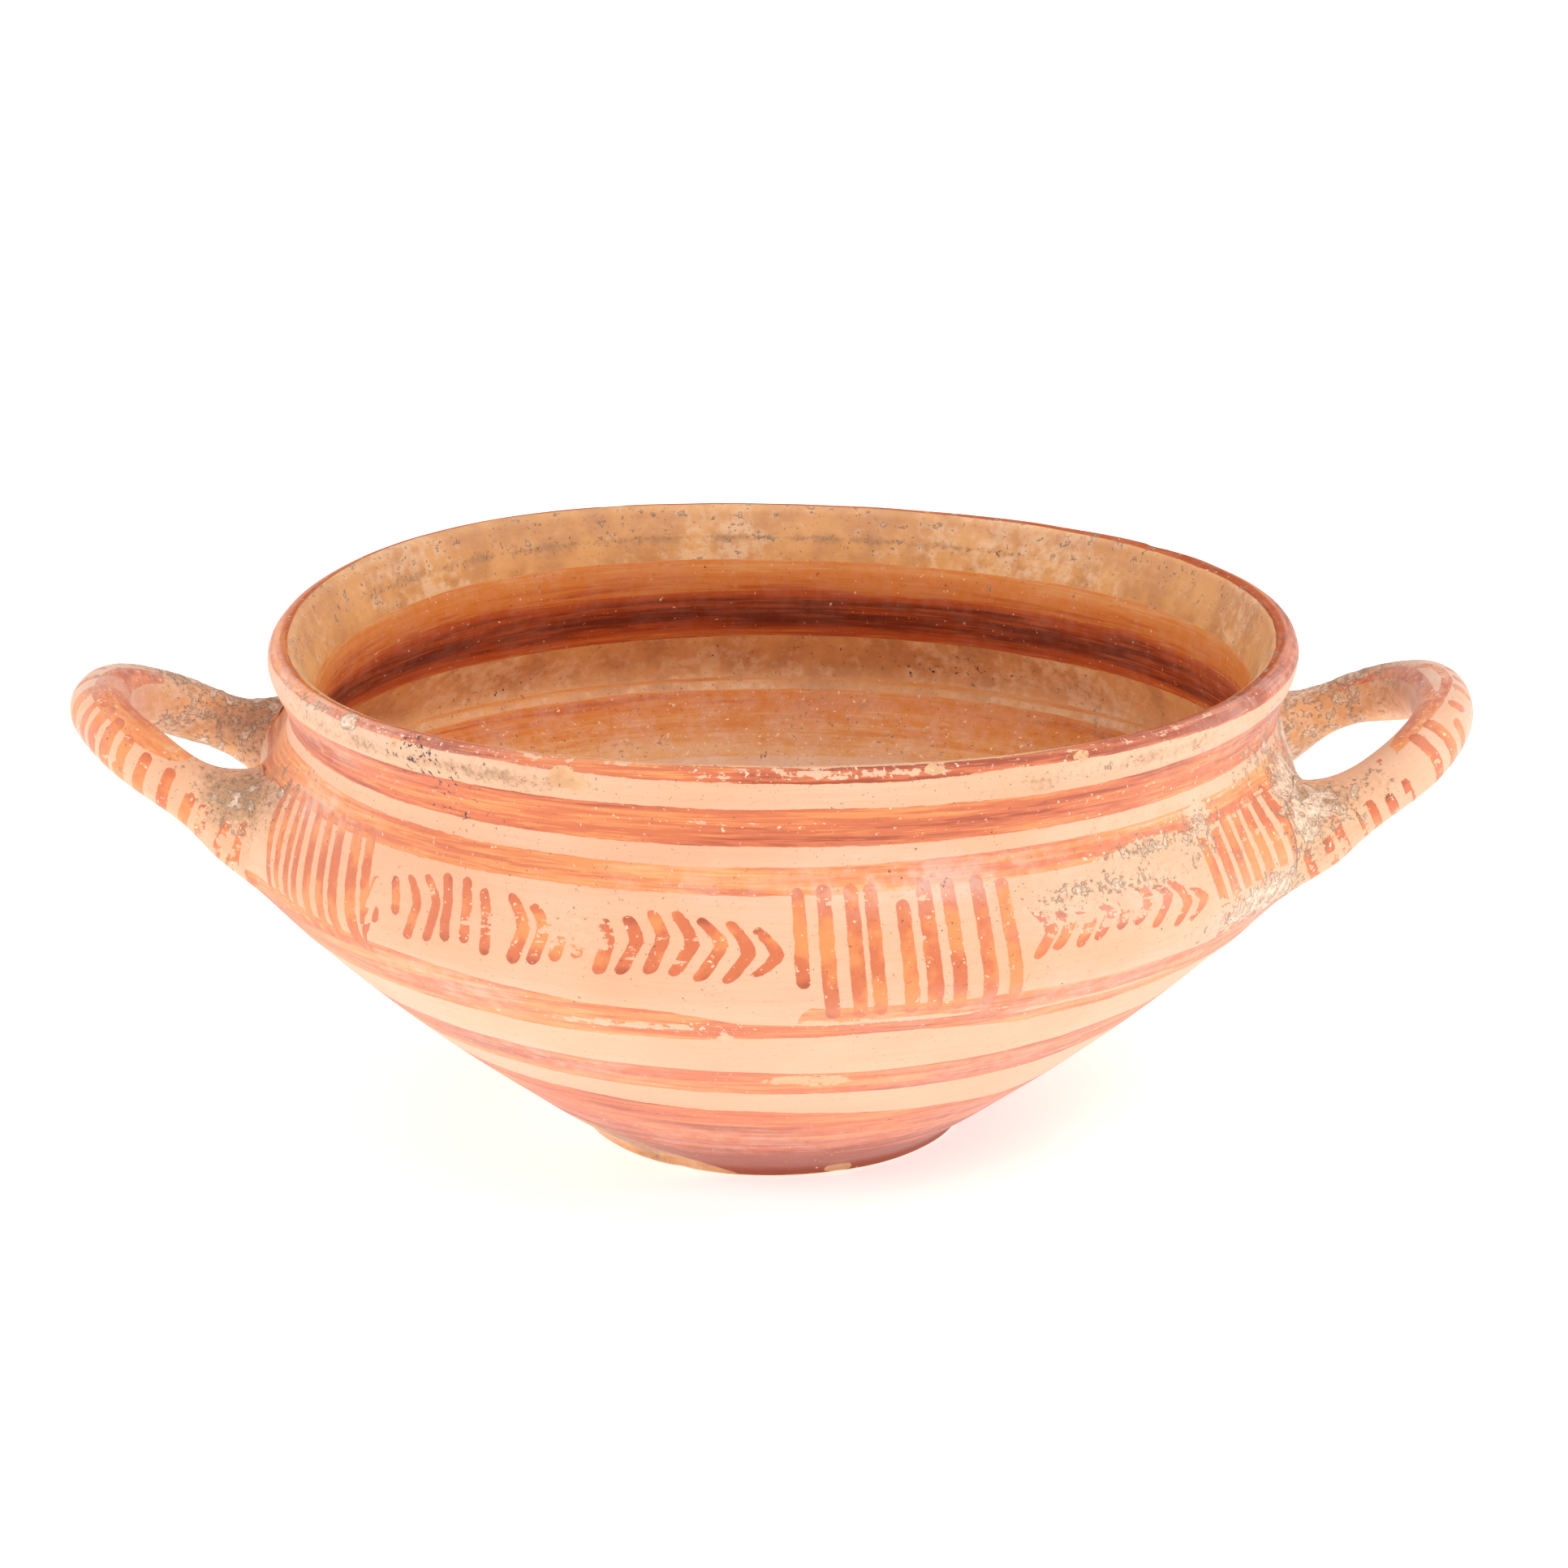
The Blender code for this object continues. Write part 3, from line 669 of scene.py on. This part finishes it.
def paint_fields(points):
    """What the decoration and its wear are at each point of the cup, with painted shade towards the foot and
    under the inner neck.
    """
    flat = unwarped(points)
    x, y, height = flat.T
    radius = np.hypot(x, y)
    turn = np.degrees(np.arctan2(y, x))
    wall = np.interp(height, *outer_face())
    over_lip = np.arctan2(height - LIP_HEIGHT, radius - LIP_RADIUS)
    lip = height > LIP_HEIGHT
    inside = np.where(lip, radius < LIP_RADIUS, radius < wall - WALL / 2) & (height > 0.6)
    below_lip = np.where(inside, -1, 1) * (LIP_RUN + LIP_HEIGHT - height)
    run = np.where(lip, LIP_BEND * (math.pi / 2 - over_lip), below_lip)

    # Outer bands, and the lip's thin one, which runs a little over the crest.
    below_edge = LIP_TOP - around(LIP_EDGE, turn) - run * LIP_SLOPE
    edge = np.minimum(run + np.interp(turn, *LIP_CREST, period=360), below_edge)
    slip_and_shade = np.interp(turn, *LIP_LOAD, period=360)
    for (top, bottom), load in OUTER_BANDS:
        within = np.minimum(around(top, turn) - height, height - around(bottom, turn))
        within = np.where(inside, -9.0, within)
        slip_and_shade = np.where(within > edge, load, slip_and_shade)
        edge = np.maximum(edge, within)
    # Towards the foot the slip is made heavier and browner: painted shade on the lower wall, where little
    # light comes from below.
    slip_and_shade = np.where(~inside & (height < 18), slip_and_shade + 0.55 * eased((14 - height) / 14), slip_and_shade)
    for top, bottom, loads in INNER_BANDS:
        within = np.where(inside, np.minimum(top - height, height - bottom), -9.0)
        slip_and_shade = np.where(within > edge, np.interp(height, *zip(*loads)), slip_and_shade)
        edge = np.maximum(edge, within)
    disc = np.where(inside & (height < 10), FLOOR_DISC - radius, -9.0)
    slip_and_shade = np.where(disc > edge, 0.9, slip_and_shade)
    edge = np.maximum(edge, disc)

    # The frieze's strokes, counted round the wall.
    frieze = ~inside & (height > FRIEZE[0]) & (height < FRIEZE[1])
    grid = np.zeros((4, len(turn)))
    grid[2] = -9.0
    grid[:, frieze] = stroke_grid(turn[frieze], height[frieze], frieze_strokes(), DEGREE)

    # Wear, earth with a painted shade along the foot's edge, and the clay's own shades, outside from the
    # patches and inside by height.
    within = {name: np.interp(height, *stops) for name, stops in INNER_WEAR.items()}
    flaked = np.where(inside, within["flaked"], patches(FLAKED, turn, height) + 0.1)
    crust = np.where(inside, within["crust"], patches(CRUSTED, turn, height))
    soil_and_shade = np.where(inside, within["soil_and_shade"], patches(SOILED_AND_SHADED, turn, height) * 0.85 + 0.15)
    groove = np.exp(-(((height - GROOVE_HEIGHT) / GROOVE_HALF) ** 2)) * np.interp(turn, *GROOVE_TURNS)
    soil_and_shade += np.where(inside, 0.95 * groove, 0)
    bloom = np.where(inside, within["bloom"], patches(BLOOMED, turn, height))
    tan = np.where(inside, within["tan"], 0.0)
    bare_foot = np.interp(degrees_from(BARE_TURN, turn), *BARE_FOOT)
    tan = np.maximum(tan, np.where(height < 9, bare_foot, 0))
    tan = np.where(height < 0.6, 0.6, tan)
    grain = np.stack([x / MARK_LENGTH, y / MARK_LENGTH, run / MARK_GAP], axis=1)

    # The handles, from just clear of the wall.
    clear = radius - wall
    for loop, strokes, ridges, rough in (
        (LEFT, LEFT_STROKES, [LEFT_RIDGE], 0.36),
        (RIGHT, RIGHT_STROKES, [RIGHT_RIDGE, RIGHT_LOWER_RIDGE], 0.6),
    ):
        mine = ~lip & (clear > 0.8) & (np.sign(x) == loop["side"]) & (height > 36)
        at, angle, _ = loop_places(points[mine], loop)
        share = eased((clear[mine] - 0.8) / 1.6)
        painted, strokes_here = handle_paint(at, angle, strokes, ridges)
        edge[mine] = blend(edge[mine], painted, share)
        grid[:, mine] = np.where(share > 0.5, strokes_here, [[0], [0], [-9], [0]])
        slip_and_shade[mine] = np.where(share > 0.5, HANDLE_SLIP, slip_and_shade[mine])
        far_arm = eased((at - 62) / 14)
        inner = eased((abs(degrees_from(170, angle)) - 80) / -30)
        near_root = 1 - eased((np.minimum(at, at.max() - at) - 22) / 16)
        tan[mine] = np.maximum(tan[mine] * (1 - share), far_arm * inner * 0.7 + near_root * 0.2)
        top = np.exp(-(((angle - 45) / 50) ** 2))
        crust[mine] = blend(crust[mine], near_root * (rough * top + 0.3 * far_arm) + 0.22, share)
        soil_and_shade[mine] = blend(soil_and_shade[mine], 0.2 + 0.9 * near_root * top + 0.35 * far_arm, share)
        flaked[mine] = blend(flaked[mine], 0.36 + 0.24 * near_root, share)
        bloom[mine] = share * (0.5 * np.exp(-(((at - 58) / 12) ** 2)) + 0.35 * far_arm)
        grain[mine] = np.stack([at / 8, angle / 40, np.full(len(at), HANDLE_GRAIN)], axis=1)

    chip = np.zeros_like(turn)
    for place, level, half_turn, half_height, depth in CHIPS:
        aside = degrees_from(place, turn) / half_turn
        away = np.hypot(aside, (height - level) / half_height)
        chip = np.where(inside, chip, np.maximum(chip, depth * eased(1.6 * (1.25 - away))))
    speck = np.where(inside, patches(INNER_STAINS, turn, height), 0)
    for place, level, size, dense in SPECKS:
        aside = degrees_from(place, turn) * radius * math.pi / 180
        near = dense * eased(1.6 - np.hypot(aside, height - level) / size)
        speck = np.where(inside, speck, np.maximum(speck, near))
    return {
        "paint": np.stack([edge, slip_and_shade, flaked], axis=1),
        "wear_and_shade": np.stack([crust, soil_and_shade, bloom], axis=1),
        "clay": np.stack([tan, chip, speck], axis=1),
        "strokes": grid[:3].T,
        "brush": np.stack([grid[3], inside, np.zeros_like(turn)], axis=1),
        "grain": grain,
    }


def linear(code):
    """An sRGB hex colour as the linear one that the nodes take."""
    parts = [int(code[i : i + 2], 16) / 255 for i in (1, 3, 5)]
    return tuple(p / 12.92 if p <= 0.04045 else ((p + 0.055) / 1.055) ** 2.4 for p in parts) + (1.0,)


def root_fillets(points):
    """How far clay smeared over the handles' roots stands out here, in mm; it is thickest on top."""
    flat = unwarped(points)
    clear = np.hypot(flat[:, 0], flat[:, 1]) - np.interp(flat[:, 2], *outer_face())
    rise = np.zeros(len(points))
    for loop in (LEFT, RIGHT):
        near = (np.sign(points[:, 0]) == loop["side"]) & (abs(points[:, 0]) > 55) & (clear > -1.5)
        near &= (flat[:, 2] > 38) & (flat[:, 2] < 76)
        run, angle, gap = loop_places(points[near], loop)
        above = np.sin(np.radians(angle))
        short = FILLET - np.maximum(clear[near], 0) - np.maximum(gap, 0)
        smeared = np.maximum(short, 0) ** 2 / (4 * FILLET) * (0.2 + 0.8 * eased(above + 0.4))
        slimmer = FAR_SLIMMER * eased((run - 78) / 16) * eased(-above) * eased(clear[near] / 4)
        rise[near] = smeared - slimmer
    return rise


def relieve(cup, fields):
    """Fuller roots, hand-made unevenness, raised crust and chips, kept within the cup's own box."""
    normals = np.empty(len(cup.data.vertices) * 3, dtype=np.float32)
    cup.data.vertex_normals.foreach_get("vector", normals)
    points = get_points(cup)
    crust, chip = fields["wear_and_shade"][:, 0], fields["clay"][:, 1]
    slow = np.array([noise.noise(Vector(point) / LUMP_SIZE) for point in points])
    quick = np.array([noise.noise(Vector(point) / CRUST_SIZE + Vector((40, 0, 0))) for point in points])
    lumps = np.where(fields["grain"][:, 2] == HANDLE_GRAIN, HANDLE_LUMPS, WALL_LUMPS)
    grains = CRUST_LEAST + CRUST_GRAINS * np.maximum(quick, -0.2)
    rise = lumps * slow + eased((crust - 0.25) / 0.6) * grains - chip
    points += normals.reshape(-1, 3) * (rise + root_fillets(points))[:, None]
    low, high = (np.array(corner) / MM for corner in cad_box)
    set_points(cup, np.clip(points, low + BOX_MARGIN, high - BOX_MARGIN))


def store(obj, fields):
    for name, values in fields.items():
        layer = obj.data.attributes.new(name, "FLOAT_VECTOR", "POINT")
        layer.data.foreach_set("vector", values.astype(np.float32).ravel())


def add_node(tree, kind, inputs, output=0, **settings):
    """Adds a node with its settings, and links or sets its inputs, which are given in order or by name."""
    made = tree.nodes.new("ShaderNode" + kind)
    for name, value in settings.items():
        setattr(made, name, value)
    for key, value in inputs.items() if isinstance(inputs, dict) else enumerate(inputs):
        if isinstance(value, bpy.types.NodeSocket):
            tree.links.new(value, made.inputs[key])
        else:
            made.inputs[key].default_value = linear(value) if isinstance(value, str) else value
    return made.outputs[output]


def painted_clay():
    """Fine buff clay, thrown, painted with iron-red slip by brush while turning, fired, then long buried.

    To the eye it is matt, with fine turning lines, red that goes orange where the brush ran dry, and lime
    and earth from the ground in its worn places.
    """
    material = bpy.data.materials.new("fired_clay_with_brushed_red_slip_worn_by_burial")
    material.use_nodes = True
    add = partial(add_node, material.node_tree)
    (edge, slip_and_shade, flaked), (crust, soil_and_shade, bloom), (tan, chip, speck), (count, step, end), (half, inside, _) = (
        add("SeparateXYZ", [add("Attribute", [], 1, attribute_name=name)]).node.outputs
        for name in ("paint", "wear_and_shade", "clay", "strokes", "brush")
    )
    grain = add("Attribute", [], 1, attribute_name="grain")
    place = add("TexCoord", [], 3)

    # Brush marks run round the pot, 20 mm long and 0.9 mm apart; the finer and broader ones are shares of
    # that size. The others are real sizes in mm. Clay's own grit is under 0.1 mm, too fine to show, so it
    # is drawn as marks of 0.28 mm.
    streak, line, broad, cloud, blotch, patch, fleck, grit = (
        add("TexNoise", {"Vector": at, "Scale": 1 / size, "Detail": detail, "Roughness": rough})
        for at, size, detail, rough in (
            (grain, 1, 4.0, 0.6), (grain, 0.3226, 2.0, 0.5), (grain, 3.571, 2.0, 0.55),
            (place, 25 * MM, 3.0, 0.55), (place, 7.143 * MM, 3.0, 0.6), (place, 2.222 * MM, 4.0, 0.6),
            (place, 0.8 * MM, 3.0, 0.6), (place, 0.2778 * MM, 2.0, 0.55),
        )
    )

    # The clay: pale peach outside where the surface was wiped, tan inside.
    clay = add("Mix", {0: add("MapRange", [cloud, 0.3, 0.7], **SMOOTH), 6: CLAY, 7: CLAY_PALE}, **COLOUR)
    brown = add("Mix", {0: add("MapRange", [blotch, 0.35, 0.65], **SMOOTH), 6: TAN, 7: TAN_DARK}, **COLOUR)
    share = add("MapRange", [add("Math", [cloud, patch], **SUM), 0.98, 1.22, 0.0, 0.6], **SMOOTH)
    brown = add("Mix", {0: share, 6: brown, 7: TAN_PALE}, **COLOUR)
    for share, over in (
        (add("MapRange", [streak, 0.4, 0.75, 0.0, 0.3], **SMOOTH), CLAY_WARM),
        (add("MapRange", [line, 0.56, 0.70, 0.0, 0.25], **SMOOTH), CLAY_WARM),
    ):
        clay = add("Mix", {0: share, 6: clay, 7: over}, **COLOUR)
    share = add("MapRange", [streak, 0.45, 0.75, 0.0, 0.5], **SMOOTH)
    brown = add("Mix", {0: share, 6: brown, 7: TAN_WARM}, **COLOUR)
    clay = add("Mix", {0: tan, 6: clay, 7: brown}, **COLOUR)

    # Strokes of the frieze and the handles, with round ends and a slightly ragged edge.
    gap = add("Math", [add("Math", [count, 0.5], **SUM)], operation="FRACT")
    gap = add("Math", [add("Math", [gap, 0.5], **DIFFERENCE)], operation="ABSOLUTE")
    gap = add("Math", [gap, step], **PRODUCT)
    over = add("Math", [add("Math", [half, end], **DIFFERENCE), 0.0], operation="MAXIMUM")
    over = add("Math", [over, over], **PRODUCT)
    away = add("Math", [add("Math", [gap, gap, over], **SCALED_SUM)], operation="SQRT")
    stroke = add("Math", [half, away], **DIFFERENCE)
    rough = add("MapRange", [patch, 0.3, 0.7, -0.10, 0.10], **SMOOTH)
    stroke = add("MapRange", [add("Math", [stroke, rough], **SUM), -0.07, 0.07], **SMOOTH)

    # Bands, brushed on while the pot turned.
    brushy = edge
    for rough in (
        add("MapRange", [streak, 0.3, 0.7, -0.09, 0.09], **SMOOTH),
        add("MapRange", [patch, 0.3, 0.7, -0.08, 0.08], **SMOOTH),
    ):
        brushy = add("Math", [brushy, rough], **SUM)
    band = add("MapRange", [brushy, -0.08, 0.08], **SMOOTH)

    # Slip: the thinner it lies, the more orange it is, and under wear it breaks up into flecks.
    # The load also carries painted shade: heavier and browner towards the foot and under the inner neck.
    loads = 0.0
    for load in (
        add("MapRange", [streak, 0.3, 0.7, -0.22, 0.20], **SMOOTH),
        add("MapRange", [line, 0.36, 0.5, -0.16, 0.03], **SMOOTH),
        add("MapRange", [broad, 0.3, 0.7, -0.16, 0.16], **SMOOTH),
    ):
        loads = add("Math", [loads, load], **SUM)
    loads = add("Math", [loads, add("Math", [inside, -0.6, 1.0], **SCALED_SUM)], **PRODUCT)
    thick_and_shade = add("Math", [slip_and_shade, loads], **SUM)
    dabbed = add("MapRange", [blotch, 0.3, 0.7, 0.66, 1.04], **SMOOTH)
    pooled = add("MapRange", [end, 0.3, 1.8, 0.16, 0.0], **SMOOTH)
    thick_and_shade = add("Mix", {0: stroke, 2: thick_and_shade, 3: add("Math", [dabbed, pooled], **SUM)})
    red, inner_red = SLIP_THIN, INNER_THIN
    for low, high, over in ((0.35, 0.70, SLIP_ORANGE), (0.68, 0.95, SLIP_RED), (0.98, 1.25, SLIP_THICK_AND_SHADE)):
        share = add("MapRange", [thick_and_shade, low, high], **SMOOTH)
        red = add("Mix", {0: share, 6: red, 7: over}, **COLOUR)
    for low, high, over in ((0.45, 0.80, INNER_ORANGE), (0.80, 1.02, INNER_RED), (1.02, 1.3, INNER_THICK_AND_SHADE)):
        share = add("MapRange", [thick_and_shade, low, high], **SMOOTH)
        inner_red = add("Mix", {0: share, 6: inner_red, 7: over}, **COLOUR)
    red = add("Mix", {0: inside, 6: red, 7: inner_red}, **COLOUR)
    painted = add("Math", [band, stroke], operation="MAXIMUM")
    mottled = add("Math", [patch, 0.55, add("Math", [streak, 0.45], **PRODUCT)], **SCALED_SUM)
    worn = add("Math", [flaked, 0.30, 0.29], **SCALED_SUM)
    kept = add("MapRange", [add("Math", [mottled, worn], **DIFFERENCE), -0.012, 0.015], **SMOOTH)
    painted = add("Math", [painted, kept], **PRODUCT)

    # Lime bloom, earth, pale crust with a painted shadow round it, fresh breaks, white flecks, pores and
    # black specks.
    misty = add("Math", [blotch, 0.5, add("Math", [patch, 0.5], **PRODUCT)], **SCALED_SUM)
    misty = add("MapRange", [misty, 0.40, 0.60, 0.15, 0.9], **SMOOTH)
    haze = add("Math", [bloom, misty], **PRODUCT)
    # The earth mask also darkens the foot's bottom edge as painted shade.
    dirty_and_shaded = add("Math", [blotch, 0.6, add("Math", [fleck, 0.4], **PRODUCT)], **SCALED_SUM)
    dirty_and_shaded = add("Math", [soil_and_shade, 0.36, dirty_and_shaded], **SCALED_SUM)
    dirty_and_shaded = add("MapRange", [dirty_and_shaded, 0.68, 0.90, 0.0, 0.7], **SMOOTH)
    lying = add("Math", [patch, 0.6, add("Math", [fleck, 0.4], **PRODUCT)], **SCALED_SUM)
    lying = add("Math", [crust, 0.36, lying], **SCALED_SUM)
    scale = add("MapRange", [lying, 0.72, 0.76], **SMOOTH)
    # A thin ring round each crust patch, in the earth colour, is painted shadow cast by the crust's raised
    # edge.
    crust_edge_shadow = add("MapRange", [lying, 0.69, 0.73], **SMOOTH)
    crust_edge_shadow = add("Math", [add("Math", [crust_edge_shadow, scale], **DIFFERENCE), 0.7], **PRODUCT)
    chalk = add("Mix", {0: add("MapRange", [fleck, 0.42, 0.62], **SMOOTH), 6: CRUST, 7: CRUST_GREY}, **COLOUR)
    ragged = add("Math", [chip, add("MapRange", [patch, 0.35, 0.6, 0.4, 1.6], **SMOOTH)], **PRODUCT)
    broken = add("MapRange", [ragged, 0.07, 0.12], **SMOOTH)
    fresh = add("Mix", {0: patch, 6: BREAK, 7: BREAK_PALE}, **COLOUR)
    pale = add("Math", [flaked, -0.16, fleck], **SCALED_SUM)
    pale = add("MapRange", [pale, 0.31, 0.26, 0.0, 0.85], **SMOOTH)
    fragile = add("Math", [painted, scale], operation="MAXIMUM")
    fragile = add("Math", [fragile, 0.85, 0.15], **SCALED_SUM)
    pale = add("Math", [pale, fragile], **PRODUCT)
    pores = add("Math", [grit, 0.6, add("Math", [fleck, 0.4], **PRODUCT)], **SCALED_SUM)
    pores = add("Math", [soil_and_shade, 0.07, pores], **SCALED_SUM)
    pores = add("MapRange", [pores, 0.635, 0.70, 0.0, 0.6], **SMOOTH)
    pores = add("Math", [pores, add("Math", [scale, -0.6, 1.0], **SCALED_SUM)], **PRODUCT)
    black = add("MapRange", [add("Math", [speck, 0.16, fleck], **SCALED_SUM), 0.70, 0.76], **SMOOTH)
    colour = clay
    for share, over in (
        (painted, red), (haze, BLOOM), (dirty_and_shaded, SOIL_AND_SHADE), (crust_edge_shadow, SOIL_AND_SHADE),
        (add("Math", [scale, 0.75], **PRODUCT), chalk), (broken, fresh), (pale, FLAKE_PALE),
        (pores, PORE), (black, MANGANESE),
    ):
        colour = add("Mix", {0: share, 6: colour, 7: over}, **COLOUR)

    relief = add("Math", [streak, 0.04], **PRODUCT)
    for height, rise in ((line, 0.012), (grit, 0.03), (scale, 0.20), (painted, 0.02), (pores, -0.12)):
        relief = add("Math", [height, rise, relief], **SCALED_SUM)

    # Fired clay is matt, and the lime dust on it catches light along its edges; slip is a little smoother.
    shader = material.node_tree.nodes["Principled BSDF"]
    for name, value in (("IOR", 1.5), ("Sheen Roughness", 0.45)):
        shader.inputs[name].default_value = value
    for name, value in (
        ("Base Color", colour),
        ("Specular IOR Level", add("Math", [inside, -0.30, 0.42], **SCALED_SUM)),
        ("Sheen Weight", add("Math", [inside, -0.22, 0.22], **SCALED_SUM)),
        ("Roughness", add("Math", [painted, -0.12, 0.74], **SCALED_SUM)),
        ("Normal", add("Bump", {"Height": relief, "Distance": MM, "Strength": 1.0})),
    ):
        material.node_tree.links.new(value, shader.inputs[name])
    return material


def light_table():
    """Opal acrylic lit from below, as studios use for small things shown on pure white."""
    material = bpy.data.materials.new("opal_acrylic_light_table")
    material.use_nodes = True
    shader = material.node_tree.nodes["Principled BSDF"]
    shader.inputs["Base Color"].default_value = linear("#f6f5f3")
    shader.inputs["Roughness"].default_value = 0.9
    shader.inputs["Emission Color"].default_value = (1.0, 1.0, 1.0, 1.0)
    shader.inputs["Emission Strength"].default_value = TABLE_GLOW
    return material


def add_floor():
    bpy.ops.mesh.primitive_plane_add(size=8.0, location=(0, 0, 0))
    floor = bpy.context.active_object
    floor.name = "floor"
    floor.data.materials.append(light_table())
    return floor


def add_light(name, place, goal, size, power):
    light = bpy.data.lights.new(name, "AREA")
    light.shape = "DISK"
    light.size = size
    light.energy = power
    obj = bpy.data.objects.new(name, light)
    obj.location = place
    obj.rotation_euler = (Vector(goal) - Vector(place)).to_track_quat("-Z", "Y").to_euler()
    bpy.context.scene.collection.objects.link(obj)


def light_studio():
    for name, place, goal_height, power in SOFTBOXES:
        add_light(name, place, (0, 0, goal_height), SOFTBOX_SIZE, power)
    world = bpy.data.worlds.new("studio")
    world.use_nodes = True
    background = world.node_tree.nodes["Background"]
    background.inputs["Color"].default_value = (1, 1, 1, 1)
    background.inputs["Strength"].default_value = WORLD_STRENGTH
    bpy.context.scene.world = world
    bpy.context.scene.view_settings.view_transform = "Standard"


def add_camera():
    camera = bpy.data.cameras.new("camera")
    camera.sensor_width = 36.0
    camera.lens = 108.07
    camera.shift_x = 15 / 1932
    camera.clip_start = 0.01
    camera.dof.use_dof = False
    obj = bpy.data.objects.new("camera", camera)
    obj.location = (0, -0.700, 0.26991)
    obj.rotation_euler = (math.radians(90 - 17.157), 0, 0)
    bpy.context.scene.collection.objects.link(obj)
    bpy.context.scene.camera = obj


cup = model_cup()
fields = paint_fields(get_points(cup))
store(cup, fields)
relieve(cup, fields)
cup.data.materials.append(painted_clay())
floor = add_floor()
light_studio()
add_camera()

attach(cup, "root")
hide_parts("cup")
